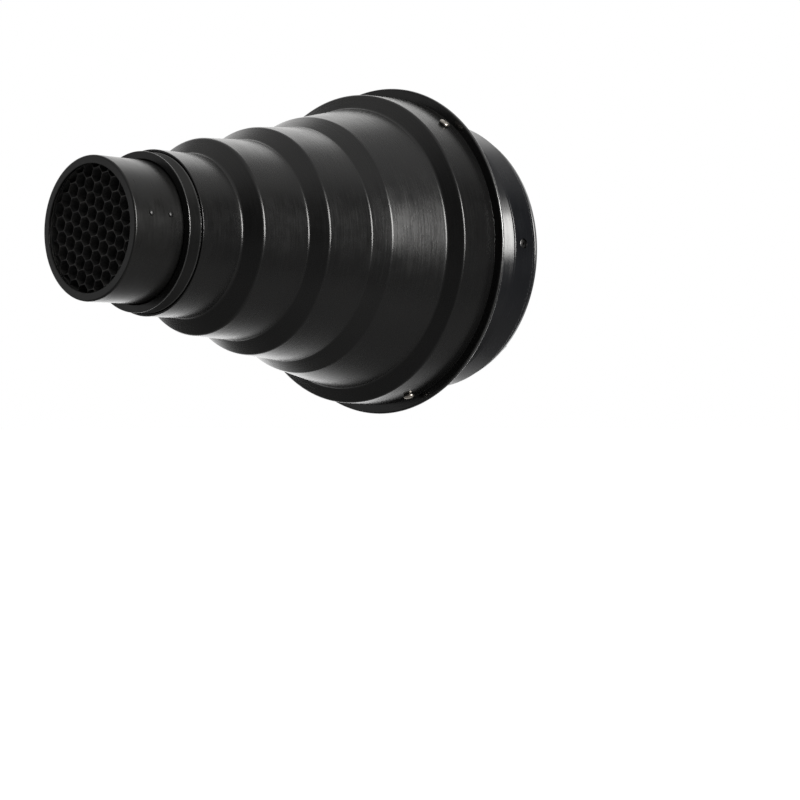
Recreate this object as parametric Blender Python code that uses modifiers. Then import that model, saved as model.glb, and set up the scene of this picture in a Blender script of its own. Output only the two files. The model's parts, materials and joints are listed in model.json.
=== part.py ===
"""A stepped conical snoot with a slide-in honeycomb grid and a three-lug bayonet mount.

The snoot is drawn along its own axis: a station is the distance forward of the mounting face, and an
angle runs from the top towards the right hand of someone who looks into the mouth. The axis empty then
lays it down, so that in the world the mouth faces -Y, the mount faces +Y and +Z is up. Lengths are in
millimetres here, and MM turns them into Blender's metres.
"""

from math import cos, pi, radians, sin, sqrt, tan

import bmesh
import bpy
from mathutils import Matrix, Vector

MM = 0.001
SEGMENTS = 48  # facets round each large turned piece
FINE = 12  # facets round a fastener
HOLE_FACETS = 8
ARC_STEP = radians(35)  # turn of each short chord in a fillet
GAP = 0.3  # clearance between pieces that touch

# Driving sizes
WALL = 1.2  # spun sheet
TUBE_R = 32.0
MOUTH_STATION = 228.0  # front face of the grid tube
COLLAR_STATION = 201.2  # front face of the mouth collar
COLLAR_R = 36.0
RIM_STATION = 44.9  # front face of the rim
RIM_R = 81.6
BAND_R = 67.2  # rear sleeve, where its band starts
SEAT_R = 64.6  # outer radius of the flat mounting face
LUG_RADII = (51.5, 58.0, 61.5)  # inside, outside of the foot, tip of the hook

# The four steps and the drum of the cone: station and radius at each front edge and each root
STEPS = (
    ((194.6, 37.4), (171.5, 37.5)),
    ((165.8, 45.3), (139.6, 46.9)),
    ((132.6, 53.5), (107.8, 56.0)),
    ((99.9, 61.6), (70.1, 68.8)),
    ((66.0, 76.1), (RIM_STATION, 76.9)),
)
FILLET = 2.2
HEM = 2.0  # thickness of the rim, where the sheet is folded flat behind itself
HEM_R = 79.0  # where the fold ends

# Grid tube and what it holds
LIP_R = 28.2
TUBE_END = 178.4
CORE_FRONT, CORE_REAR = 225.2, 204.5
CORE_R = 29.4
CELL_PITCH, CELL_WALL = 6.5, 0.5
CORE_CLOCK = 38.1  # direction of one row of cells, from the right towards the top
RIVET_STATIONS = (218.8, 208.1)
RIVET_ANGLES = (80.3, 200.3, 320.3)
GRIP_STATION = 190.3

# Fasteners
DRUM_SCREW_STATION = 50.4
DRUM_SCREW_ANGLES = (40, 160, 280)
SLEEVE_SCREW_STATION = 12.0
SLEEVE_SCREW_ANGLES = (88, 208, 328)
LOCK_ANGLE = 80  # the flash head's lock pin drops in here
LUG_ANGLES = (30, 150, 270)
LUG_SCREW_R = 54.8
LUG_SCREW_SPREAD = 6.0  # degrees to each side of the lug's middle
M3_R = 1.45
M3_HOLE_R = M3_R + GAP


def clear_scene():
    for obj in list(bpy.data.objects):
        bpy.data.objects.remove(obj, do_unlink=True)


def collection(name):
    made = bpy.data.collections.new(name)
    bpy.context.scene.collection.children.link(made)
    return made


def paint(name, color, roughness, metallic=0.0):
    material = bpy.data.materials.new(name)
    material.use_nodes = True
    shader = material.node_tree.nodes["Principled BSDF"]
    shader.inputs["Base Color"].default_value = (*color, 1)
    shader.inputs["Roughness"].default_value = roughness
    shader.inputs["Metallic"].default_value = metallic
    return material


def add(name, mesh, parent, material=None):
    """Puts a mesh in the scene: a piece of the snoot, or a cutter where it has no material."""
    obj = bpy.data.objects.new(name, mesh)
    obj.parent = parent
    if material:
        PARTS.objects.link(obj)
        mesh.materials.clear()
        mesh.materials.append(material)
    else:
        CUTTERS.objects.link(obj)
        obj.hide_render = True
        obj.display_type = "WIRE"
    return obj


def smooth(obj, limit=radians(32)):
    obj.data.shade_smooth()
    obj.data.set_sharp_from_angle(angle=limit)


# ---- outlines ------------------------------------------------------------------------------------


def rounded(corners):
    """The outline through (station, radius[, fillet]) corners, as points, with each fillet as an arc."""
    spots = [Vector((corner[1], corner[0])) for corner in corners]
    points = []
    for i, corner in enumerate(corners):
        if len(corner) == 2:
            points.append(spots[i])
            continue
        back = (spots[i - 1] - spots[i]).normalized()
        on = (spots[(i + 1) % len(spots)] - spots[i]).normalized()
        half = back.angle(on) / 2
        centre = spots[i] + (back + on).normalized() * corner[2] / sin(half)
        first = (spots[i] + back * corner[2] / tan(half) - centre).normalized()
        last = (spots[i] + on * corner[2] / tan(half) - centre).normalized()
        steps = max(1, round((pi - 2 * half) / ARC_STEP))
        points += [centre + first.slerp(last, k / steps) * corner[2] for k in range(steps + 1)]
    return points


def sheet(corners, wall=WALL, tail=()):
    """The closed outline of sheet metal whose outer side runs through these corners, front to rear.

    The tail is a run of points between the rear ends of the outer and the inner side.
    """
    spots = [Vector((corner[1], corner[0])) for corner in corners]
    runs = [(after - before).normalized() for before, after in zip(spots, spots[1:])]
    sides = [Vector((-run.y, run.x)) for run in runs]
    inner = []
    for spot, a, b in zip(spots, [sides[0], *sides], [*sides, sides[-1]]):
        inner.append(spot - (a + b) * wall / (1 + a.dot(b)))
    return rounded(corners) + list(tail) + inner[::-1]


# ---- solids --------------------------------------------------------------------------------------


def turned(name, outline, parent, material, steps=SEGMENTS):
    """Turns an outline round the axis. One that starts and ends on the axis stays open there."""
    solid = outline[0].x < 1e-6
    mesh = bpy.data.meshes.new(name)
    edges = [(i, i + 1) for i in range(len(outline) - 1)]
    if not solid:
        edges.append((len(outline) - 1, 0))
    mesh.from_pydata([(p.x * MM, 0, p.y * MM) for p in outline], edges, [])
    obj = add(name, mesh, parent, material)
    screw = obj.modifiers.new("turn", "SCREW")
    screw.axis = "Z"
    screw.angle = 2 * pi
    screw.steps = screw.render_steps = steps
    screw.use_smooth_shade = True
    screw.use_merge_vertices = solid
    screw.merge_threshold = 1e-5
    return obj


def prisms(name, places, radius, length, parent, sides=HOLE_FACETS, material=None):
    """One mesh of upright prisms, each centred on its place, which is a matrix in millimetres."""
    mesh = bpy.data.meshes.new(name)
    bm = bmesh.new()
    for place in places:
        bmesh.ops.create_cone(
            bm, cap_ends=True, segments=sides, radius1=radius, radius2=radius, depth=length, matrix=place
        )
    bmesh.ops.scale(bm, vec=(MM, MM, MM), verts=bm.verts)
    bm.to_mesh(mesh)
    bm.free()
    return add(name, mesh, parent, material)


def boxes(name, places, size, parent):
    """One cutter of boxes of this size, each centred on its place."""
    mesh = bpy.data.meshes.new(name)
    bm = bmesh.new()
    for place in places:
        bmesh.ops.create_cube(bm, size=1, matrix=place @ Matrix.Diagonal((*size, 1)))
    bmesh.ops.scale(bm, vec=(MM, MM, MM), verts=bm.verts)
    bm.to_mesh(mesh)
    bm.free()
    return add(name, mesh, parent)


def cut(obj, cutter, operation="DIFFERENCE"):
    modifier = obj.modifiers.new(cutter.name, "BOOLEAN")
    modifier.operation = operation
    modifier.object = cutter


def radial(angle, radius, station):
    """The place of something whose +Z points straight out from the axis."""
    out = Vector((sin(radians(angle)), cos(radians(angle)), 0))
    turn = out.to_track_quat("Z", "Y").to_matrix().to_4x4()
    return Matrix.Translation(out * radius + Vector((0, 0, station))) @ turn


def axial(angle, radius, station):
    """The place of something whose +Z points forward along the axis."""
    out = Vector((sin(radians(angle)), cos(radians(angle)), 0))
    return Matrix.Translation(out * radius + Vector((0, 0, station))) @ Matrix.Rotation(-radians(angle), 4, "Z")


def copies(master, name, places, parent, material):
    """Makes one object at each place from the finished mesh of a master, then removes the master."""
    bpy.context.view_layer.update()
    graph = bpy.context.evaluated_depsgraph_get()
    mesh = bpy.data.meshes.new_from_object(master.evaluated_get(graph))
    bpy.data.objects.remove(master, do_unlink=True)
    mesh.name = name
    for number, place in enumerate(places, 1):
        obj = add(f"{name}_{number}", mesh, parent, material)
        shift = Matrix.Translation(place.translation * (MM - 1))
        obj.matrix_local = shift @ place
        smooth(obj)


# ---- the shell -----------------------------------------------------------------------------------


def cone_shell(axis):
    """The spun cone: steps with rounded front edges and filleted roots, a drum, and a folded rim."""
    (mouth, first_root), *others = STEPS
    corners = [mouth, (*first_root, FILLET)]
    for edge, root in others:
        corners += [(*edge, FILLET), (*root, FILLET)]
    drum_rear = corners.pop()[:2]  # the drum meets the rim at a sharp corner
    corners += [drum_rear, (RIM_STATION, HEM_R)]
    fold = [
        (RIM_STATION, HEM_R),
        (RIM_STATION, RIM_R, 0.8),
        (RIM_STATION - HEM, RIM_R, 0.8),
        (RIM_STATION - HEM, HEM_R),
    ]
    shell = turned("cone_shell", sheet(corners, tail=rounded(fold)[1:]), axis, BLACK_SATIN)
    places = [radial(angle, STEPS[-1][1][1], DRUM_SCREW_STATION) for angle in DRUM_SCREW_ANGLES]
    cut(shell, prisms("drum_holes", places, M3_HOLE_R, 8, axis))


def mouth_collar(axis):
    """The ring pressed into the cone's mouth: a thin front flange, a neck, the tube's bore, and an end stop."""
    shoulder = STEPS[0][0][0]
    body_r = STEPS[0][0][1] - WALL - GAP
    neck_r, flange = 33.2, 1.3
    rear, stop_face, stop_r = 176.3, TUBE_END - GAP, 30.4
    bore = TUBE_R + 0.4
    groove = (GRIP_STATION + 1.8, GRIP_STATION - 1.8)
    corners = [
        (COLLAR_STATION, bore),
        (COLLAR_STATION, COLLAR_R, 0.3),
        (COLLAR_STATION - flange, COLLAR_R),
        (COLLAR_STATION - flange, neck_r),
        (shoulder + 2.3, neck_r),
        (shoulder, body_r),
        (rear, body_r),
        (rear, stop_r),
        (stop_face, stop_r),
        (stop_face, bore),
        (groove[1], bore),
        (groove[1], bore + 2),
        (groove[0], bore + 2),
        (groove[0], bore),
    ]
    turned("mouth_collar", rounded(corners), axis, BLACK_SATIN)


def rear_sleeve(axis):
    """The spun sleeve: a spigot inside the drum, a web in to the waist, a flared shoulder, and the band."""
    spigot_r, waist_r, web = 74.8, 61.0, 40.5
    corners = [
        (58.3, spigot_r),
        (web, spigot_r, 3),
        (web, waist_r, 3),
        (31.5, waist_r, 3),
        (18.3, BAND_R, 0.8),
        (5.0, BAND_R + 1.1, 0.5),
        (3.8, BAND_R - 0.2),
        (0, BAND_R - 0.8),
    ]
    sleeve = turned("rear_sleeve", sheet(corners), axis, BLACK_SATIN)
    places = [radial(angle, spigot_r, DRUM_SCREW_STATION) for angle in DRUM_SCREW_ANGLES]
    cut(sleeve, prisms("spigot_holes", places, M3_HOLE_R, 6, axis))
    places = [radial(angle, BAND_R, SLEEVE_SCREW_STATION) for angle in SLEEVE_SCREW_ANGLES]
    cut(sleeve, prisms("band_holes", places, 2.6, 4, axis))


# ---- the mount -----------------------------------------------------------------------------------


def lug_screw_angles():
    return [angle + side * LUG_SCREW_SPREAD for angle in LUG_ANGLES for side in (-1, 1)]


def mount_ring(axis):
    """The stiff ring inside the band: a skirt for the radial screws and a flat flange that seats."""
    skirt_r, skirt_bore, bore, flange = 65.5, 60.0, 50.5, 5.0
    corners = [
        (16.5, skirt_r),
        (6.5, skirt_r),
        (0, SEAT_R),
        (0, bore),
        (flange, bore),
        (flange, skirt_bore),
        (16.5, skirt_bore),
    ]
    ring = turned("mount_ring", rounded(corners), axis, CAST_GREY)
    places = [radial(angle, skirt_r, SLEEVE_SCREW_STATION) for angle in SLEEVE_SCREW_ANGLES]
    cut(ring, prisms("skirt_holes", places, M3_HOLE_R, 20, axis))
    places = [axial(angle, LUG_SCREW_R, 0) for angle in lug_screw_angles()]
    cut(ring, prisms("flange_holes", places, M3_HOLE_R, 20, axis))
    cut(ring, prisms("lock_hole", [axial(LOCK_ANGLE, 57.0, 0)], 2.5, 12, axis, FINE))


def bayonet_lugs(axis):
    """Three hooked lugs behind the ring, each an arc of the same turned section."""
    inside, foot, tip = LUG_RADII
    corners = [(-GAP, inside), (-GAP, foot), (-6, foot), (-6, tip), (-9, tip), (-9, inside)]
    holes = [axial(angle, LUG_SCREW_R, 0) for angle in lug_screw_angles()]
    holes = prisms("lug_holes", holes, M3_HOLE_R, 11, axis)
    for number, angle in enumerate(LUG_ANGLES, 1):
        section = [Vector((radius, station)) for station, radius in corners]
        lug = turned(f"bayonet_lug_{number}", section, axis, STEEL)
        keep = boxes(f"lug_{number}_keep", [axial(angle, 60, -5)], (21, 30, 20), axis)
        cut(lug, keep, "INTERSECT")
        cut(lug, holes)


# ---- the grid ------------------------------------------------------------------------------------


def rivet_places(radius):
    return [radial(angle, radius, station) for angle in RIVET_ANGLES for station in RIVET_STATIONS]


def grid_tube(carrier):
    """The tube, with its inturned front lip and the holes for its rivets."""
    bore = TUBE_R - WALL
    corners = [
        (MOUTH_STATION, LIP_R),
        (MOUTH_STATION, TUBE_R, 1.0),
        (TUBE_END, TUBE_R),
        (TUBE_END, bore),
        (MOUTH_STATION - WALL, bore),
        (MOUTH_STATION - WALL, LIP_R),
    ]
    tube = turned("grid_tube", rounded(corners), carrier, BLACK_SATIN)
    cut(tube, prisms("tube_rivet_holes", rivet_places(TUBE_R), 1.3, 5, carrier))


def core_hoop(carrier):
    """The thin hoop round the honeycomb, riveted to the tube."""
    outside, inside = TUBE_R - WALL - GAP, CORE_R + GAP
    front, rear = MOUTH_STATION - WALL - GAP, CORE_REAR - 1
    corners = [(front, outside), (rear, outside), (rear, inside), (front, inside)]
    hoop = turned("core_hoop", rounded(corners), carrier, BLACK_MATT)
    cut(hoop, prisms("hoop_rivet_holes", rivet_places(outside), 1.3, 4, carrier))


def honeycomb_core(carrier):
    """Hexagonal cells in close rows, cut from a disc and kept clear of its edge."""
    depth = CORE_FRONT - CORE_REAR
    middle = Matrix.Translation((0, 0, CORE_FRONT - depth / 2))
    core = prisms("honeycomb_core", [middle], CORE_R, depth, carrier, SEGMENTS, BLACK_MATT)
    bound_r = CORE_R - CELL_WALL
    rows = range(-6, 7)
    lattice = [Vector((CELL_PITCH * (i + j / 2), CELL_PITCH * j * sqrt(3) / 2, 0)) for i in rows for j in rows]
    turn = Matrix.Rotation(radians(CORE_CLOCK), 4, "Z")
    places = [
        middle @ turn @ Matrix.Translation(spot) for spot in lattice if spot.length < bound_r + CELL_PITCH / 4
    ]
    corner_r = (CELL_PITCH - CELL_WALL) / sqrt(3)
    cells = prisms("cells", places, corner_r, depth + 4, carrier, 6)
    cut(cells, prisms("cell_bound", [middle], bound_r, depth + 10, carrier, SEGMENTS), "INTERSECT")
    cut(core, cells)


def grip_ring(carrier):
    """The split spring ring that sits in the collar's groove and grips the tube."""
    inside, outside, half = TUBE_R + 0.3, TUBE_R + 2.1, 1.5
    top, bottom = GRIP_STATION + half, GRIP_STATION - half
    corners = [(top, outside), (bottom, outside), (bottom, inside), (top, inside)]
    ring = turned("grip_ring", rounded(corners), carrier, STEEL)
    cut(ring, boxes("ring_split", [axial(180, TUBE_R, GRIP_STATION)], (4, 12, 12), carrier))


# ---- fasteners -----------------------------------------------------------------------------------


def screw_master(axis, head_r, head_height, length, edge, material):
    """A screw that points down -Z from the underside of its head, with a rounded head."""
    outline = [
        Vector(spot)
        for spot in (
            (0, head_height),
            (head_r * 0.6, head_height * 0.93),
            (head_r, head_height * edge),
            (head_r, 0),
            (M3_R, 0),
            (M3_R, -length),
            (0, -length),
        )
    ]
    return turned("screw_master", outline, axis, material, FINE)


def cross_recess(screw, axis, top, span):
    for number in range(2):
        place = Matrix.Translation((0, 0, top)) @ Matrix.Rotation(pi / 2 * number, 4, "Z")
        cut(screw, boxes(f"recess_{number}", [place], (span, 0.8, 2.2), axis))


def hex_socket(screw, axis, top):
    cut(screw, prisms("socket", [Matrix.Translation((0, 0, top))], 1.3, 2.2, axis, 6))


def fasteners(axis, carrier):
    seat = STEPS[-1][1][1] + 0.1  # just clear of the drum
    screw = screw_master(axis, 2.8, 2.0, 8, 0.45, NICKEL)
    cross_recess(screw, axis, 2.0, 3.2)
    places = [radial(angle, seat, DRUM_SCREW_STATION) for angle in DRUM_SCREW_ANGLES]
    copies(screw, "drum_screw", places, axis, NICKEL)

    nut = prisms("nut_master", [Matrix.Identity(4)], 5.5 / sqrt(3), 2.4, axis, 6, STEEL)
    cut(nut, prisms("nut_bore", [Matrix.Identity(4)], M3_HOLE_R, 6, axis))
    places = [radial(angle, 72.1, DRUM_SCREW_STATION) for angle in DRUM_SCREW_ANGLES]
    copies(nut, "drum_nut", places, axis, STEEL)

    screw = screw_master(axis, 2.3, 1.6, 5, 0.9, BLACK_STEEL)
    cross_recess(screw, axis, 1.6, 2.6)
    places = [radial(angle, 65.8, SLEEVE_SCREW_STATION) for angle in SLEEVE_SCREW_ANGLES]
    copies(screw, "sleeve_screw", places, axis, BLACK_STEEL)

    screw = screw_master(axis, 2.7, 2.2, 10, 0.9, STEEL)
    hex_socket(screw, axis, 2.2)
    places = [axial(angle, LUG_SCREW_R, 5 + GAP) for angle in lug_screw_angles()]
    copies(screw, "lug_screw", places, axis, STEEL)

    head = [(0, 0.6), (1.0, 0.5), (1.5, 0), (1.0, 0), (1.0, -2.3), (0, -2.3)]
    rivet = turned("rivet_master", [Vector(spot) for spot in head], carrier, BLACK_STEEL, 10)
    copies(rivet, "grid_rivet", rivet_places(TUBE_R + 0.2), carrier, BLACK_STEEL)


def build():
    axis = bpy.data.objects.new("snoot_axis", None)
    axis.rotation_euler = (pi / 2, 0, 0)
    PARTS.objects.link(axis)
    carrier = bpy.data.objects.new("grid_axis", None)  # the grid's parts slide and turn about this
    carrier.parent = axis
    PARTS.objects.link(carrier)
    cone_shell(axis)
    mouth_collar(axis)
    rear_sleeve(axis)
    mount_ring(axis)
    bayonet_lugs(axis)
    grid_tube(carrier)
    core_hoop(carrier)
    honeycomb_core(carrier)
    grip_ring(carrier)
    fasteners(axis, carrier)


clear_scene()
PARTS = collection("snoot")
CUTTERS = collection("cutters")
BLACK_SATIN = paint("black_satin_paint", (0.018, 0.018, 0.019), 0.34)
BLACK_MATT = paint("black_matt_foil", (0.012, 0.012, 0.013), 0.6)
BLACK_STEEL = paint("blackened_steel", (0.03, 0.03, 0.032), 0.4, 0.8)
CAST_GREY = paint("cast_aluminium", (0.25, 0.25, 0.26), 0.5, 0.9)
STEEL = paint("steel", (0.45, 0.45, 0.46), 0.35, 1.0)
NICKEL = paint("bright_nickel", (0.72, 0.7, 0.66), 0.22, 1.0)
build()
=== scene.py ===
"""The snoot in detail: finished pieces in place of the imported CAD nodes, their materials, and a studio.

Pieces are drawn along the snoot's own axis, in millimetres, as in the CAD: +Z points forward, a station is
the distance forward of the mounting face, and an angle runs from the top towards +X. settle() then lays each
piece down in the row frame.
"""

import json
from math import ceil, cos, degrees, pi, radians, sin, sqrt, tan

import bmesh
import bpy
from mathutils import Matrix, Vector

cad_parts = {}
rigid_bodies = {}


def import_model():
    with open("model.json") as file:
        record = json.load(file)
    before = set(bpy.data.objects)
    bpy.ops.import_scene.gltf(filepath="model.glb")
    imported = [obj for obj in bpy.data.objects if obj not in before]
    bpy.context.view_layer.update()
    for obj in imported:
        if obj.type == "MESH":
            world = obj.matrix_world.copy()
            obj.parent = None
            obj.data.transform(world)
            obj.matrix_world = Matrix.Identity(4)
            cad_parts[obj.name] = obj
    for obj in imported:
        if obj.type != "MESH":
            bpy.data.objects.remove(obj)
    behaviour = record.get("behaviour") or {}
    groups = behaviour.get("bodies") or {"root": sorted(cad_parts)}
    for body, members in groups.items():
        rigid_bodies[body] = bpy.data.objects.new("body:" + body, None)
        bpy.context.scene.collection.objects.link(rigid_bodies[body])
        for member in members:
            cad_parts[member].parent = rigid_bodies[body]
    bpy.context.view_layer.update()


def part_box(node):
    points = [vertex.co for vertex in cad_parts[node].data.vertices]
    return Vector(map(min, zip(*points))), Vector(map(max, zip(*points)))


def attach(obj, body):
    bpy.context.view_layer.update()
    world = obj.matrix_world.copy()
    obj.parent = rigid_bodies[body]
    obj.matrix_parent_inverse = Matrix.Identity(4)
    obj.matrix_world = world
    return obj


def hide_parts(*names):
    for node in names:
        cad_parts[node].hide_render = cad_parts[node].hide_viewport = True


for leftover in list(bpy.data.objects):
    bpy.data.objects.remove(leftover, do_unlink=True)
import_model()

MM = 0.001
TO_ROW = Matrix.Rotation(pi / 2, 4, "X") @ Matrix.Scale(MM, 4)
FACETS = 256  # round a large turned piece
FINE_FACETS = 48  # round a fastener
CHORD = radians(9)  # turn of each chord in a fillet
EASE = 0.1  # short straight beside each fillet, so that the long flats shade flat
EDGE = 0.25  # softened edge of a cut or turned corner

# The CAD's driving sizes
WALL = 1.2
TUBE_R = 32.0
MOUTH_STATION = -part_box("grid_tube")[0].y / MM
COLLAR_STATION = -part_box("mouth_collar")[0].y / MM
RIM_STATION = 44.9
RIM_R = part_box("cone_shell")[1].z / MM
RIM_DEPTH = 2.0
FOLD_R = 79.0
STEPS = (
    ((194.6, 37.4), (171.5, 37.5)),
    ((165.8, 45.3), (139.6, 46.9)),
    ((132.6, 53.5), (107.8, 56.0)),
    ((99.9, 61.6), (70.1, 68.8)),
    ((66.0, 76.1), (RIM_STATION, 76.9)),
)
CREST, ROOT = 2.1, 1.9  # fillets at the steps' front edges and at their roots
COLLAR_R = 36.0
LIP_R = 28.2
TUBE_END = -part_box("grid_tube")[1].y / MM
CORE_FRONT = -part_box("honeycomb_core")[0].y / MM
CORE_REAR = -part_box("honeycomb_core")[1].y / MM
CORE_R = 29.4
CELL_PITCH = 6.5
CORE_CLOCK = 38.1
RIVET_STATIONS = (218.8, 208.1)
RIVET_ANGLES = (80.3, 200.3, 320.3)
GRIP_STATION = 190.3
BAND_R = 67.2
SEAT_R = 64.6
SKIRT_DEPTH = 16.5
DRUM_SCREW_STATION = 50.4
DRUM_SCREW_ANGLES = (40, 160, 280)
SLEEVE_SCREW_STATION = 12.0
SLEEVE_SCREW_ANGLES = (88, 208, 328)
LUG_ANGLES = (30, 150, 270)
LUG_SCREW_R = 54.8
LUG_SCREW_SPREAD = 6.0
LOCK_ANGLE = 80
LOCK_R = 57.0
M3_R = 1.45
M3_HOLE_R = 1.75
RIVET_HOLE_R = 1.3


# ---- outlines ------------------------------------------------------------------------------------


def rounded(corners):
    """The outline through (station, radius[, fillet]) corners, as (radius, station) points."""
    spots = [Vector((corner[1], corner[0])) for corner in corners]
    points = []
    for i, corner in enumerate(corners):
        if len(corner) == 2:
            points.append(spots[i])
            continue
        fillet = corner[2]
        back = (spots[i - 1] - spots[i]).normalized()
        on = (spots[(i + 1) % len(spots)] - spots[i]).normalized()
        half = back.angle(on) / 2
        centre = spots[i] + (back + on).normalized() * fillet / sin(half)
        reach = fillet / tan(half)
        first = (spots[i] + back * reach - centre).normalized()
        last = (spots[i] + on * reach - centre).normalized()
        steps = max(2, ceil((pi - 2 * half) / CHORD))
        ease = min(EASE, fillet * 0.2)
        points.append(spots[i] + back * (reach + ease))
        points += [centre + first.slerp(last, k / steps) * fillet for k in range(steps + 1)]
        points.append(spots[i] + on * (reach + ease))
    return points


def sheet(corners, lining=None, tail=()):
    """The closed outline of sheet metal whose outer side runs through these corners, front to rear.

    The inner side follows the lining's corners, which are plainer where the outer side has small details.
    The tail is a run of points between the rear ends of the two sides.
    """
    lining = lining or corners
    spots = [Vector((corner[1], corner[0])) for corner in lining]
    runs = [(after - before).normalized() for before, after in zip(spots, spots[1:])]
    inner = []
    for corner, spot, before, after in zip(lining, spots, [runs[0], *runs], [*runs, runs[-1]]):
        along = before + after
        inside = spot - Vector((-along.y, along.x)) * WALL / (1 + before.dot(after))
        hollow = before.cross(after) > 0
        fillets = [fillet + WALL if hollow else max(fillet - WALL, 0.3) for fillet in corner[2:]]
        inner.append((inside.y, inside.x, *fillets))
    return rounded(corners) + list(tail) + rounded(inner)[::-1]


# ---- solids --------------------------------------------------------------------------------------


def add(name, mesh):
    obj = bpy.data.objects.new(name, mesh)
    bpy.context.scene.collection.objects.link(obj)
    return obj


def lathe(name, outline, facets=FACETS, sweep=None):
    """Turns an outline of (radius, station) points round Z: all the way, or over a sweep of two angles."""
    mesh = bpy.data.meshes.new(name)
    start, end = sweep or (0, 360)
    columns = facets + 1 if sweep else facets
    turns = [radians(start + (end - start) * k / facets) for k in range(columns)]
    solid = outline[0][0] < 1e-6
    verts, rings = [], []
    for radius, station in outline:
        if radius < 1e-6:
            rings.append([len(verts)] * columns)
            verts.append((0, 0, station))
        else:
            rings.append(range(len(verts), len(verts) + columns))
            verts += [(radius * sin(turn), radius * cos(turn), station) for turn in turns]
    pairs = list(zip(rings, rings[1:]))
    if not solid:
        pairs.append((rings[-1], rings[0]))
    faces = []
    for near, far in pairs:
        for k in range(facets):
            after = (k + 1) % columns
            corner = (near[k], near[after], far[after], far[k])
            faces.append(tuple(dict.fromkeys(corner)))
    if sweep:
        faces.append(tuple(ring[0] for ring in rings))
        faces.append(tuple(ring[-1] for ring in reversed(rings)))
    mesh.from_pydata(verts, [], faces)
    return add(name, mesh)


def prisms(name, places, radius, length, sides):
    """One mesh of upright prisms, each centred on its place."""
    mesh = bpy.data.meshes.new(name)
    bm = bmesh.new()
    for place in places:
        bmesh.ops.create_cone(
            bm, cap_ends=True, segments=sides, radius1=radius, radius2=radius, depth=length, matrix=place
        )
    bm.to_mesh(mesh)
    bm.free()
    return add(name, mesh)


def boxes(name, places, size):
    """One mesh of boxes of this size, each centred on its place."""
    mesh = bpy.data.meshes.new(name)
    bm = bmesh.new()
    for place in places:
        bmesh.ops.create_cube(bm, size=1, matrix=place @ Matrix.Diagonal((*size, 1)))
    bm.to_mesh(mesh)
    bm.free()
    return add(name, mesh)


def bake(obj):
    """Applies the object's modifiers to its mesh."""
    bpy.context.view_layer.update()
    graph = bpy.context.evaluated_depsgraph_get()
    mesh = bpy.data.meshes.new_from_object(obj.evaluated_get(graph))
    obj.modifiers.clear()
    obj.data = mesh


def carve(obj, *cutters, operation="DIFFERENCE"):
    for cutter in cutters:
        modifier = obj.modifiers.new("carve", "BOOLEAN")
        modifier.operation = operation
        modifier.object = cutter
    bake(obj)
    for cutter in cutters:
        bpy.data.objects.remove(cutter, do_unlink=True)


def soften(obj, width, segments=2, limit=30):
    """Bevels the edges that turn by more than the limit, in degrees."""
    modifier = obj.modifiers.new("soften", "BEVEL")
    modifier.width = width
    modifier.segments = segments
    modifier.limit_method = "ANGLE"
    modifier.angle_limit = radians(limit)
    modifier.use_clamp_overlap = True
    bake(obj)


def outward(angle):
    """The direction straight out from the axis at this angle."""
    return Vector((sin(radians(angle)), cos(radians(angle)), 0))


def radial(angle, radius, station):
    """The place of something whose +Z points straight out from the axis."""
    out = outward(angle)
    turn = out.to_track_quat("Z", "Y").to_matrix().to_4x4()
    return Matrix.Translation(out * radius + Vector((0, 0, station))) @ turn


def axial(angle, radius, station):
    """The place of something whose +Z points forward along the axis."""
    spot = outward(angle) * radius + Vector((0, 0, station))
    return Matrix.Translation(spot) @ Matrix.Rotation(-radians(angle), 4, "Z")


def drum_screw_places(radius):
    return [radial(angle, radius, DRUM_SCREW_STATION) for angle in DRUM_SCREW_ANGLES]


def sleeve_screw_places(radius):
    return [radial(angle, radius, SLEEVE_SCREW_STATION) for angle in SLEEVE_SCREW_ANGLES]


def lug_screw_places(station):
    angles = [angle + side * LUG_SCREW_SPREAD for angle in LUG_ANGLES for side in (-1, 1)]
    return [axial(angle, LUG_SCREW_R, station) for angle in angles]


def rivet_places(radius):
    return [radial(angle, radius, station) for angle in RIVET_ANGLES for station in RIVET_STATIONS]


def settle(obj, material, slot, body, *nodes, crease=28):
    """Lays a finished piece down in the row frame, where it stands for these CAD nodes."""
    obj.data.transform(TO_ROW)
    obj.data.shade_smooth()
    obj.data.set_sharp_from_angle(angle=radians(crease))
    obj.data.materials.clear()
    obj.data.materials.append(material)
    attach(obj, body)
    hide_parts(*nodes)


def copies(master, name, places, material, slot, body, node):
    """A finished piece at each place from one master, which is removed."""
    for number, place in enumerate(places, 1):
        mesh = master.data.copy()
        mesh.transform(place)
        settle(add(f"{name}_{number}", mesh), material, slot, body, f"{node}_{number}")
    bpy.data.objects.remove(master, do_unlink=True)


# ---- materials -----------------------------------------------------------------------------------


class Nodes:
    """Short ways to build a node tree."""

    def __init__(self, tree):
        self.tree = tree

    def add(self, kind, **settings):
        node = self.tree.nodes.new(kind)
        for key, value in settings.items():
            setattr(node, key, value)
        return node

    def link(self, source, target):
        self.tree.links.new(source, target)

    def plug(self, value, socket):
        if isinstance(value, (int, float, tuple)):
            socket.default_value = value
        else:
            self.link(value, socket)

    def math(self, operation, a, b=0.0):
        node = self.add("ShaderNodeMath", operation=operation)
        self.plug(a, node.inputs[0])
        self.plug(b, node.inputs[1])
        return node.outputs[0]

    def split(self, vector):
        node = self.add("ShaderNodeSeparateXYZ")
        self.link(vector, node.inputs[0])
        return node.outputs

    def dot(self, vector, direction):
        node = self.add("ShaderNodeVectorMath", operation="DOT_PRODUCT")
        self.link(vector, node.inputs[0])
        node.inputs[1].default_value = direction
        return node.outputs["Value"]

    def ramp(self, value, low, high, out_low, out_high, kind="LINEAR"):
        node = self.add("ShaderNodeMapRange", interpolation_type=kind)
        for socket, number in zip(node.inputs[1:5], (low, high, out_low, out_high)):
            socket.default_value = number
        self.link(value, node.inputs[0])
        return node.outputs[0]


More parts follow.
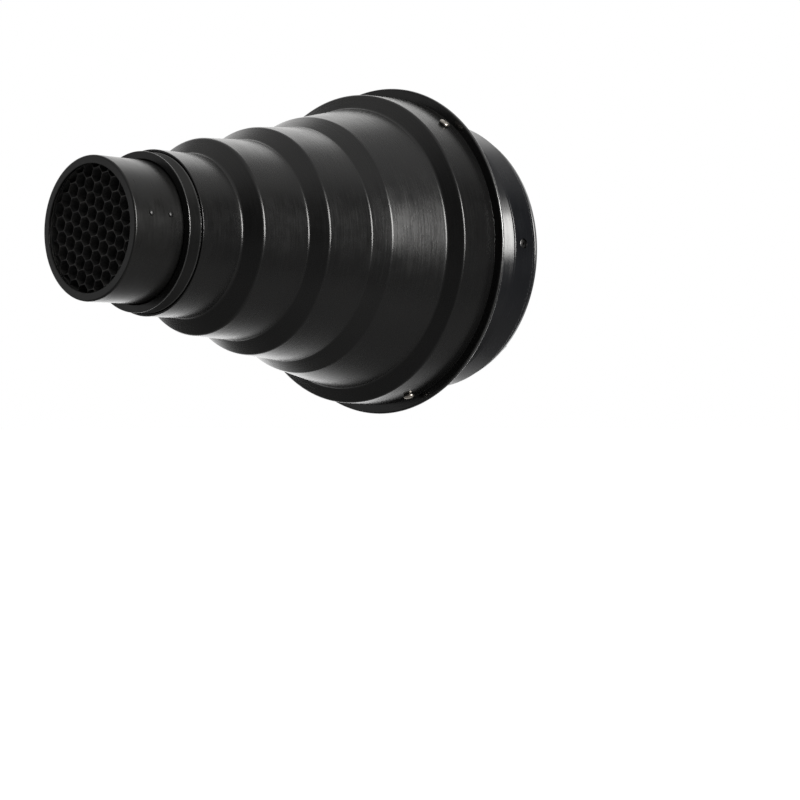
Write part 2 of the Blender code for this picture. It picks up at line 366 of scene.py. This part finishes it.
class Material(Nodes):
    """A material's node tree, round its principled shader."""

    def __init__(self, name):
        self.material = bpy.data.materials.new(name)
        self.material.use_nodes = True
        super().__init__(self.material.node_tree)
        self.shader = self.tree.nodes["Principled BSDF"]

    def place(self):
        return self.add("ShaderNodeTexCoord").outputs["Object"]

    def radius(self):
        """The distance from the snoot's axis."""
        x, _, z = self.split(self.place())
        return self.math("SQRT", self.math("ADD", self.math("MULTIPLY", x, x), self.math("MULTIPLY", z, z)))

    def turned_place(self, around):
        """Coordinates that hardly change round the axis: radius, station, and a little of the angle."""
        x, y, z = self.split(self.place())
        join = self.add("ShaderNodeCombineXYZ")
        self.link(self.radius(), join.inputs[0])
        self.link(y, join.inputs[1])
        self.link(self.math("MULTIPLY", self.math("ARCTAN2", x, z), around), join.inputs[2])
        return join.outputs[0]

    def noise(self, place, scale, detail=2.0, roughness=0.5):
        node = self.add("ShaderNodeTexNoise")
        self.link(place, node.inputs["Vector"])
        node.inputs["Scale"].default_value = scale
        node.inputs["Detail"].default_value = detail
        node.inputs["Roughness"].default_value = roughness
        return node.outputs["Fac"]

    def blend(self, factor, a, b):
        node = self.add("ShaderNodeMix", data_type="RGBA")
        self.plug(factor, node.inputs["Factor"])
        self.plug((*a, 1) if isinstance(a, tuple) else a, node.inputs[6])
        self.plug((*b, 1) if isinstance(b, tuple) else b, node.inputs[7])
        return node.outputs[2]

    def bump(self, height, strength, distance, normal=None):
        node = self.add("ShaderNodeBump")
        node.inputs["Strength"].default_value = strength
        node.inputs["Distance"].default_value = distance
        self.link(height, node.inputs["Height"])
        if normal:
            self.link(normal, node.inputs["Normal"])
        return node.outputs[0]

    def finish(self, color, roughness, normal=None, **fixed):
        self.plug(color, self.shader.inputs["Base Color"])
        self.plug(roughness, self.shader.inputs["Roughness"])
        if normal:
            self.link(normal, self.shader.inputs["Normal"])
        for key, value in fixed.items():
            self.shader.inputs[key.replace("_", " ")].default_value = value
        return self.material


def enamel(name, dark, light, rough, lines, peel=0.03, worn=None):
    """Stove enamel over spun metal: faint spinning lines, orange peel, and handling marks in the gloss.

    Between the two worn radii it rubs through to dull metal, which is bare beyond them.
    """
    n = Material(name)
    place = n.place()
    turned = n.turned_place(around=0.004)
    marks = n.noise(turned, 900, 3, 0.6)
    cloud = n.noise(place, 35, 3)
    smudge = n.noise(place, 90, 4, 0.6)
    color = n.blend(n.ramp(cloud, 0.35, 0.65, 0, 1), dark, light)
    handled = n.ramp(smudge, 0.3, 0.75, rough - 0.03, rough + 0.05)
    gloss = n.math("ADD", handled, n.ramp(marks, 0.3, 0.7, -0.03, 0.03))
    bump = n.bump(marks, lines, 0.00012)
    bump = n.bump(n.noise(place, 600, 2), peel, 0.0001, bump)
    if worn:
        rubbed = n.ramp(n.radius(), worn[0] * MM, worn[1] * MM, 0, 1)
        color = n.blend(rubbed, color, (0.14, 0.14, 0.14))
        n.link(rubbed, n.shader.inputs["Metallic"])
    return n.finish(color, gloss, bump)


def foil(name):
    """Matt black foil, a little paler where the dip ran thin along the cells."""
    n = Material(name)
    place = n.place()
    thin = n.noise(place, 260, 3, 0.6)
    color = n.blend(n.ramp(thin, 0.4, 0.75, 0, 1), (0.065, 0.065, 0.066), (0.11, 0.107, 0.103))
    rough = n.ramp(n.noise(place, 150, 2), 0.3, 0.7, 0.50, 0.68)
    return n.finish(color, rough, n.bump(n.noise(place, 900, 2), 0.25, 0.0002), Specular_IOR_Level=0.3)


def metal(name, dark, light, rough, turned=True, grain_scale=1500, lines=0.15):
    """Bare or plated metal with tool lines and a slight tarnish."""
    n = Material(name)
    place = n.place()
    stain = n.noise(place, 120, 4, 0.6)
    color = n.blend(n.ramp(stain, 0.35, 0.7, 0, 1), dark, light)
    grain = n.noise(n.turned_place(around=0.003) if turned else place, grain_scale, 3, 0.6)
    tarnish = n.ramp(stain, 0.3, 0.7, rough - 0.04, rough + 0.08)
    gloss = n.math("ADD", tarnish, n.ramp(grain, 0.3, 0.7, -0.04, 0.04))
    return n.finish(color, gloss, n.bump(grain, lines, 0.0001), Metallic=1.0)


SPUN_BLACK = enamel(
    "spun_black_enamel",
    (0.0045, 0.0045, 0.0046),
    (0.0062, 0.0061, 0.0061),
    rough=0.26,
    lines=0.28,
    worn=(RIM_R - 0.35, RIM_R - 0.1),
)
SLEEVE_BLACK = enamel(
    "sleeve_black_enamel", (0.0048, 0.0052, 0.0064), (0.0062, 0.0067, 0.0082), rough=0.235, lines=0.10
)
TURNED_BLACK = enamel(
    "turned_black_enamel",
    (0.0050, 0.0050, 0.0050),
    (0.0066, 0.0065, 0.0063),
    rough=0.30,
    lines=0.25,
    worn=(COLLAR_R - 0.2, COLLAR_R - 0.05),
)
TUBE_BLACK = enamel(
    "tube_black_enamel", (0.0050, 0.0050, 0.0049), (0.0066, 0.0065, 0.0063), rough=0.30, lines=0.2
)
FOIL = foil("matt_black_foil")
CAST = metal("turned_cast_aluminium", (0.30, 0.30, 0.31), (0.42, 0.42, 0.43), 0.42)
SPRING = metal("spring_steel", (0.33, 0.33, 0.34), (0.46, 0.45, 0.44), 0.32)
ZINC = metal("zinc_plate", (0.42, 0.43, 0.45), (0.58, 0.58, 0.58), 0.34, turned=False, grain_scale=700)
NICKEL = metal(
    "bright_nickel_plate",
    (0.40, 0.37, 0.33),
    (0.56, 0.52, 0.47),
    0.26,
    turned=False,
    grain_scale=900,
    lines=0.06,
)
BLACK_OXIDE = metal(
    "black_oxide", (0.07, 0.07, 0.072), (0.16, 0.155, 0.15), 0.32, turned=False, grain_scale=900
)
RIVET_BLACK = metal(
    "blackened_rivet", (0.03, 0.03, 0.03), (0.07, 0.07, 0.07), 0.36, turned=False, grain_scale=900
)

BLACK_SLOT, FOIL_SLOT, OXIDE_SLOT = "black_satin_paint", "black_matt_foil", "blackened_steel"
CAST_SLOT, STEEL_SLOT, NICKEL_SLOT = "cast_aluminium", "steel", "bright_nickel"


# ---- the shell -----------------------------------------------------------------------------------


def spun_cone():
    """Steps with rounded crests and filleted roots, ending in a rim folded flat behind itself."""
    drum_crest, drum_root, fold_fillet = 1.5, 0.15, 0.97  # the drum's own edge is tighter, and its root sharp
    (mouth, first_root), *others = STEPS
    corners = [(mouth[0], mouth[1] - 0.8), (*mouth, 0.45), (*first_root, ROOT)]
    for crest, root in others:
        corners += [(*crest, CREST), (*root, ROOT)]
    drum_front, drum_rear = STEPS[-1]
    corners[-2:] = [(*drum_front, drum_crest), (*drum_rear, drum_root), (RIM_STATION, FOLD_R)]
    fold = [
        (RIM_STATION, FOLD_R),
        (RIM_STATION, RIM_R, fold_fillet),
        (RIM_STATION - RIM_DEPTH, RIM_R, fold_fillet),
        (RIM_STATION - RIM_DEPTH, FOLD_R, 0.2),
        (RIM_STATION - WALL, FOLD_R),
    ]
    cone = lathe("spun_cone", sheet(corners, tail=rounded(fold)[1:-1]))
    carve(cone, prisms("holes", drum_screw_places(drum_rear[1]), M3_HOLE_R, 8, 24))
    settle(cone, SPUN_BLACK, BLACK_SLOT, "snoot", "cone_shell")


def turned_collar():
    """The ring pressed into the cone's mouth: a thin front flange, a neck, the tube's bore and its stop."""
    shoulder, cone_r = STEPS[0][0]
    body_r = cone_r - WALL - 0.05
    neck_r, flange = 33.2, 0.8
    rear, stop_face, stop_r = 176.3, TUBE_END - 0.3, 30.4
    bore = TUBE_R + 0.4
    groove_front, groove_rear, groove_r = GRIP_STATION + 1.8, GRIP_STATION - 1.8, bore + 2
    corners = [
        (COLLAR_STATION, bore, 0.3),
        (COLLAR_STATION, COLLAR_R, 0.35),
        (COLLAR_STATION - flange, COLLAR_R, 0.4),
        (COLLAR_STATION - 1.3, neck_r, 0.3),
        (shoulder + 3.6, neck_r, 0.3),
        (shoulder, body_r, 0.3),
        (rear, body_r, EDGE),
        (rear, stop_r, EDGE),
        (stop_face, stop_r, EDGE),
        (stop_face, bore),
        (groove_rear, bore, 0.2),
        (groove_rear, groove_r),
        (groove_front, groove_r),
        (groove_front, bore, 0.2),
    ]
    settle(lathe("turned_collar", rounded(corners)), TURNED_BLACK, BLACK_SLOT, "snoot", "mouth_collar")


def spun_sleeve():
    """A spigot inside the drum, a web in to the waist, a flared shoulder, and the band with its lip."""
    spigot_r, waist_r, web, head_hole_r = 74.8, 61.0, 40.5, 2.45
    corners = [
        (58.3, spigot_r),
        (web, spigot_r, 3),
        (web, waist_r, 2.6),
        (31.5, waist_r, 3),
        (18.6, BAND_R - 0.1, 0.5),
        (17.9, BAND_R - 0.05, 0.15),
        (17.5, BAND_R + 0.1, 0.15),
        (5.3, BAND_R + 1.1, 0.35),
        (4.1, BAND_R - 0.1, 0.3),
        (2.6, BAND_R - 0.2, 0.12),
        (2.2, BAND_R - 0.5, 0.12),
        (1.8, BAND_R - 0.3, 0.12),
        (0, BAND_R - 0.8),
    ]
    lining = [
        *corners[:4],
        (18.3, BAND_R, 0.8),
        (5.0, BAND_R + 1.1, 0.5),
        (3.8, BAND_R - 0.2),
        (0, BAND_R - 0.8),
    ]
    sleeve = lathe("spun_sleeve", sheet(corners, lining))
    spigot_holes = prisms("spigot_holes", drum_screw_places(spigot_r), M3_HOLE_R, 6, 24)
    band_holes = prisms("band_holes", sleeve_screw_places(BAND_R), head_hole_r, 4, 32)
    carve(sleeve, spigot_holes, band_holes)
    settle(sleeve, SLEEVE_BLACK, BLACK_SLOT, "snoot", "rear_sleeve")


# ---- the mount -----------------------------------------------------------------------------------


def cast_ring():
    """The stiff ring inside the band: a skirt for the radial screws and a flat flange that seats."""
    skirt_r, skirt_bore, bore, flange, pin_hole_r = 65.5, 60.0, 50.5, 5.0, 2.5
    corners = [
        (SKIRT_DEPTH, skirt_r, EDGE),
        (6.5, skirt_r, EDGE),
        (0, SEAT_R, EDGE),
        (0, bore, 0.5),
        (flange, bore, 0.5),
        (flange, skirt_bore, 1.5),
        (SKIRT_DEPTH, skirt_bore, EDGE),
    ]
    ring = lathe("cast_ring", rounded(corners))
    skirt_holes = prisms("skirt_holes", sleeve_screw_places(66), M3_HOLE_R, 16, 24)
    flange_holes = prisms("flange_holes", lug_screw_places(0), M3_HOLE_R, 20, 24)
    lock_hole = prisms("lock_hole", [axial(LOCK_ANGLE, LOCK_R, 0)], pin_hole_r, 20, 40)
    carve(ring, skirt_holes, flange_holes, lock_hole)
    settle(ring, CAST, CAST_SLOT, "snoot", "mount_ring")


def hooked_lugs():
    """Three hooked lugs behind the ring, with softened edges."""
    inside, foot, tip, half_sweep, width = 51.5, 58.0, 61.5, 10.6, 20.9
    front, hook, rear = -0.3, -6, -9
    corners = [(front, inside), (front, foot), (hook, foot, 0.6), (hook, tip), (rear, tip), (rear, inside)]
    for number, angle in enumerate(LUG_ANGLES, 1):
        sweep = (angle - half_sweep, angle + half_sweep)
        lug = lathe(f"hooked_lug_{number}", rounded(corners), 24, sweep)
        carve(lug, boxes("keep", [axial(angle, 60, -5)], (width, 30, 20)), operation="INTERSECT")
        soften(lug, 0.45)
        carve(lug, prisms("lug_holes", lug_screw_places(0), M3_HOLE_R, 11, 24))
        settle(lug, ZINC, STEEL_SLOT, "snoot", f"bayonet_lug_{number}")


# ---- the grid ------------------------------------------------------------------------------------


def grid_barrel():
    """The tube, with its inturned front lip and the holes for its rivets."""
    bore = TUBE_R - WALL
    corners = [
        (MOUTH_STATION, LIP_R, 0.35),
        (MOUTH_STATION, TUBE_R, 0.9),
        (TUBE_END, TUBE_R, 0.2),
        (TUBE_END, bore, 0.2),
        (MOUTH_STATION - WALL, bore, 0.4),
        (MOUTH_STATION - WALL, LIP_R, 0.35),
    ]
    tube = lathe("grid_barrel", rounded(corners))
    carve(tube, prisms("rivet_holes", rivet_places(TUBE_R), RIVET_HOLE_R, 5, 20))
    settle(tube, TUBE_BLACK, BLACK_SLOT, "grid", "grid_tube")


def comb_hoop():
    """The thin hoop round the honeycomb, riveted to the tube."""
    outside, inside = TUBE_R - WALL - 0.3, CORE_R + 0.3
    front, rear = MOUTH_STATION - WALL - 0.3, CORE_REAR - 1
    corners = [(front, outside, 0.15), (rear, outside, 0.15), (rear, inside, 0.15), (front, inside, 0.15)]
    hoop = lathe("comb_hoop", rounded(corners))
    carve(hoop, prisms("rivet_holes", rivet_places(outside), RIVET_HOLE_R, 4, 20))
    settle(hoop, FOIL, FOIL_SLOT, "grid", "core_hoop")


def foil_comb():
    """Expanded foil honeycomb: round-cornered cells, with doubled foil where the ribbons are glued."""
    single, doubled, edging = 0.11, 0.26, 0.4
    twist, shrink = 0.02, 0.012  # how far a cell strays from the regular lattice
    depth = CORE_FRONT - CORE_REAR
    middle = Matrix.Translation((0, 0, CORE_FRONT - depth / 2))
    core = prisms("foil_comb", [middle], CORE_R, depth, 128)
    bound_r = CORE_R - edging
    flatten = Matrix.Diagonal(((CELL_PITCH - doubled) / (CELL_PITCH - single), 1, 1, 1))
    turn = Matrix.Rotation(radians(CORE_CLOCK + 60), 4, "Z")
    rows = range(-6, 7)
    places = []
    for i in rows:
        for j in rows:
            spot = Vector((CELL_PITCH * (i + j / 2), CELL_PITCH * j * sqrt(3) / 2, 0))
            if spot.length > bound_r + CELL_PITCH / 4:
                continue
            twisted = Matrix.Rotation(twist * sin(7 * i + 3 * j), 4, "Z")
            uneven = twisted @ Matrix.Scale(1 - shrink * abs(sin(5 * i - 4 * j)), 4)
            places.append(middle @ turn @ Matrix.Translation(spot) @ flatten @ uneven)
    cells = prisms("cells", places, (CELL_PITCH - single) / sqrt(3), depth + 4, 6)
    soften(cells, 0.8, segments=3, limit=50)
    carve(cells, prisms("bound", [middle], bound_r, depth + 10, 128), operation="INTERSECT")
    carve(core, cells)
    settle(core, FOIL, FOIL_SLOT, "grid", "honeycomb_core", crease=40)


def split_ring():
    """The split spring ring that sits in the collar's groove and grips the tube."""
    inside, outside, half, gap = TUBE_R + 0.3, TUBE_R + 2.1, 1.5, 4
    front, rear = GRIP_STATION + half, GRIP_STATION - half
    corners = [(front, outside, 0.4), (rear, outside, 0.4), (rear, inside, 0.4), (front, inside, 0.4)]
    half_gap = degrees(gap / 2 / TUBE_R)
    ring = lathe("split_ring", rounded(corners), FACETS, (180 + half_gap, 540 - half_gap))
    settle(ring, SPRING, STEEL_SLOT, "grip_ring", "grip_ring")


# ---- fasteners -----------------------------------------------------------------------------------


def screw(head, length):
    """A screw down -Z: a head of (radius, height) points, then an M3 shank with rolled threads."""
    neck, pitch, depth, chamfer = 0.6, 0.5, 0.25, 0.35
    outline = [*head, (M3_R, 0), (M3_R, -neck)]
    for k in range(int((length - 2 * neck) / pitch)):
        base = -neck - k * pitch
        outline += [(M3_R - depth, base - pitch * 0.45), (M3_R, base - pitch * 0.9)]
    outline += [(M3_R - chamfer, -length), (0, -length)]
    return lathe("screw", outline, FINE_FACETS)


def cross_recess(obj, top, span):
    """A cross recess with tapering wings, cut into the top of a head."""
    width, depth, taper = 0.75, 1.2, 0.45
    cutters = []
    for turn in (pi / 5, pi / 5 + pi / 2):
        place = Matrix.Rotation(turn, 4, "Z") @ Matrix.Translation((0, 0, top))
        wing = boxes("wing", [place], (span, width, 2 * depth))
        for vertex in wing.data.vertices:
            if vertex.co.z < top:
                vertex.co.x *= taper
                vertex.co.y *= taper
        cutters.append(wing)
    carve(obj, *cutters)


def dome(radius, height, edge):
    """A rounded head's outline, from the middle of its top to the foot of its side."""
    points = 7
    outline = [(0, height)]
    for k in range(1, points + 1):
        turn = k / points * pi / 2
        outline.append((radius * sin(turn), edge + (height - edge) * cos(turn)))
    return [*outline, (radius, edge * 0.4), (radius - 0.12, 0)]


def drum_screws():
    height, drum_r = 1.6, STEPS[-1][1][1]
    master = screw(dome(2.7, height, 0.7), 8)
    cross_recess(master, height, 3.2)
    places = drum_screw_places(drum_r + 0.1)
    copies(master, "pan_screw", places, NICKEL, NICKEL_SLOT, "snoot", "drum_screw")


def drum_nuts():
    flats, thickness, nut_r = 5.5, 2.4, 72.1
    nut = prisms("nut", [Matrix.Identity(4)], flats / sqrt(3), thickness, 6)
    profile = [(0, 1.3), (2.55, 1.2), (3.3, 0.8), (3.3, -0.8), (2.55, -1.2), (0, -1.3)]
    carve(nut, lathe("chamfer", profile, FINE_FACETS), operation="INTERSECT")
    carve(nut, prisms("bore", [Matrix.Identity(4)], M3_HOLE_R, 6, 32))
    copies(nut, "hex_nut", drum_screw_places(nut_r), ZINC, STEEL_SLOT, "snoot", "drum_nut")


def sleeve_screws():
    height, seat_r = 1.6, 65.95
    master = screw(dome(2.3, height, 1.2), 5)
    cross_recess(master, height, 2.5)
    places = sleeve_screw_places(seat_r)
    copies(master, "band_screw", places, BLACK_OXIDE, OXIDE_SLOT, "snoot", "sleeve_screw")


def lug_screws():
    height, seat = 2.2, 5.3
    master = screw([(0, height), (2.35, height), (2.6, 2.1), (2.7, 1.85), (2.7, 0)], 10)
    carve(master, prisms("socket", [Matrix.Translation((0, 0, height))], 1.3, 2.2, 6))
    copies(master, "socket_screw", lug_screw_places(seat), ZINC, STEEL_SLOT, "snoot", "lug_screw")


def rivets():
    """Rivets with a thin domed head and a plain shank."""
    outline = [(0, 0.45), (0.5, 0.42), (0.9, 0.32), (1.15, 0.16), (1.25, 0), (1.0, 0), (1.0, -2.3), (0, -2.3)]
    master = lathe("rivet", outline, FINE_FACETS)
    places = rivet_places(TUBE_R + 0.2)
    copies(master, "pop_rivet", places, RIVET_BLACK, OXIDE_SLOT, "grid", "grid_rivet")


spun_cone()
turned_collar()
spun_sleeve()
cast_ring()
hooked_lugs()
grid_barrel()
comb_hoop()
foil_comb()
split_ring()
drum_screws()
drum_nuts()
sleeve_screws()
lug_screws()
rivets()


# ---- studio --------------------------------------------------------------------------------------

CAMERA_AT = Vector((0.6832, -0.7653, -0.0756))
LOOK = Vector((-0.67997, 0.73324, 0.00096))
SENSOR, LENS = 36, 88.8
AIM = Vector((0, -0.11, 0))  # the lights face the middle of the snoot
FLOOR_Z = -0.95
WARM = (1, 0.99, 0.97)
WHITE = (1, 1, 1)


def toward(direction, up=Vector((0, 0, 1))):
    """The turn of a camera or a light that faces this way."""
    z = -direction.normalized()
    x = up.cross(z).normalized()
    return Matrix((x, z.cross(x), z)).transposed().to_4x4()


def camera():
    data = bpy.data.cameras.new("camera")
    data.sensor_width = SENSOR
    data.lens = LENS
    data.clip_start = 0.05
    data.clip_end = 200
    obj = bpy.data.objects.new("camera", data)
    bpy.context.scene.collection.objects.link(obj)
    obj.matrix_world = Matrix.Translation(CAMERA_AT) @ toward(LOOK)
    bpy.context.scene.camera = obj


def softbox(name, azimuth, elevation, distance, size, radiance, color=WHITE):
    """A rectangular area light, with its azimuth from +X towards +Y and the brightness of its face."""
    a, e = radians(azimuth), radians(elevation)
    out = Vector((cos(a) * cos(e), sin(a) * cos(e), sin(e)))
    data = bpy.data.lights.new(name, "AREA")
    data.shape = "RECTANGLE"
    data.size, data.size_y = size
    data.energy = radiance * pi * size[0] * size[1]
    data.color = color
    obj = bpy.data.objects.new(name, data)
    bpy.context.scene.collection.objects.link(obj)
    obj.matrix_world = Matrix.Translation(AIM + out * distance) @ toward(-out)
    obj.visible_camera = False


def surroundings():
    """A white backdrop behind the snoot that fades to a dark room on the camera's side."""
    world = bpy.data.worlds.new("studio")
    bpy.context.scene.world = world
    world.use_nodes = True
    n = Nodes(world.node_tree)
    n.tree.nodes.clear()
    heading = n.add("ShaderNodeTexCoord").outputs["Generated"]
    backdrop = n.ramp(n.dot(heading, LOOK), 0.46, 0.79, 0, 1.4, "SMOOTHSTEP")
    overhead = n.ramp(n.split(heading)[2], 0.42, 0.85, 0, 0.5, "SMOOTHSTEP")
    room = n.add("ShaderNodeBackground")
    room.inputs["Color"].default_value = (1, 0.995, 0.985, 1)
    n.link(n.math("ADD", n.math("ADD", backdrop, overhead), 0.035), room.inputs["Strength"])
    seen = n.add("ShaderNodeBackground")
    seen.inputs["Color"].default_value = (*WHITE, 1)
    seen.inputs["Strength"].default_value = 1.0
    mix = n.add("ShaderNodeMixShader")
    n.link(n.add("ShaderNodeLightPath").outputs["Is Camera Ray"], mix.inputs[0])
    n.link(room.outputs[0], mix.inputs[1])
    n.link(seen.outputs[0], mix.inputs[2])
    n.link(mix.outputs[0], n.add("ShaderNodeOutputWorld").inputs[0])


def floor():
    """A pale studio floor with painted light: though it is no lamp, it glows brighter with distance and
    towards the backdrop.
    """
    mesh = bpy.data.meshes.new("floor")
    bm = bmesh.new()
    bmesh.ops.create_circle(bm, cap_ends=True, segments=96, radius=60)
    bm.to_mesh(mesh)
    bm.free()
    obj = add("floor", mesh)
    obj.location.z = FLOOR_Z
    n = Material("pale_floor")
    reach = n.add("ShaderNodeVectorMath", operation="LENGTH")
    n.link(n.place(), reach.inputs[0])
    distance = reach.outputs["Value"]
    # painted light: the floor's own emission, rising with distance and towards the backdrop, stands in for
    # lamps that light the far floor
    behind = n.ramp(n.math("DIVIDE", n.dot(n.place(), LOOK), distance), 0.70, 0.90, 0, 1)
    painted_floor_glow = n.math("MULTIPLY", n.ramp(distance, 0.6, 2.6, 0, 1.9), behind)
    n.link(painted_floor_glow, n.shader.inputs["Emission Strength"])
    n.shader.inputs["Emission Color"].default_value = (*WHITE, 1)
    pale = n.blend(n.noise(n.place(), 3, 2), (0.70, 0.70, 0.69), (0.76, 0.76, 0.75))
    # painted shade: the camera sees the pale floor, while reflections and bounced light see a dark grey copy
    # of it
    seen = n.add("ShaderNodeLightPath").outputs["Is Camera Ray"]
    n.finish(n.blend(seen, (0.20, 0.20, 0.20), pale), 0.85)
    mesh.materials.append(n.material)


camera()
surroundings()
floor()
softbox("key_softbox", 2.5, 14, 1.6, (0.62, 0.80), 20, WARM)
softbox("key_spill", 4, 33, 1.7, (0.6, 0.3), 3.2, WARM)
softbox("fill", -133, 6, 2.2, (1.9, 1.6), 0.4)
bpy.context.scene.view_settings.view_transform = "Standard"
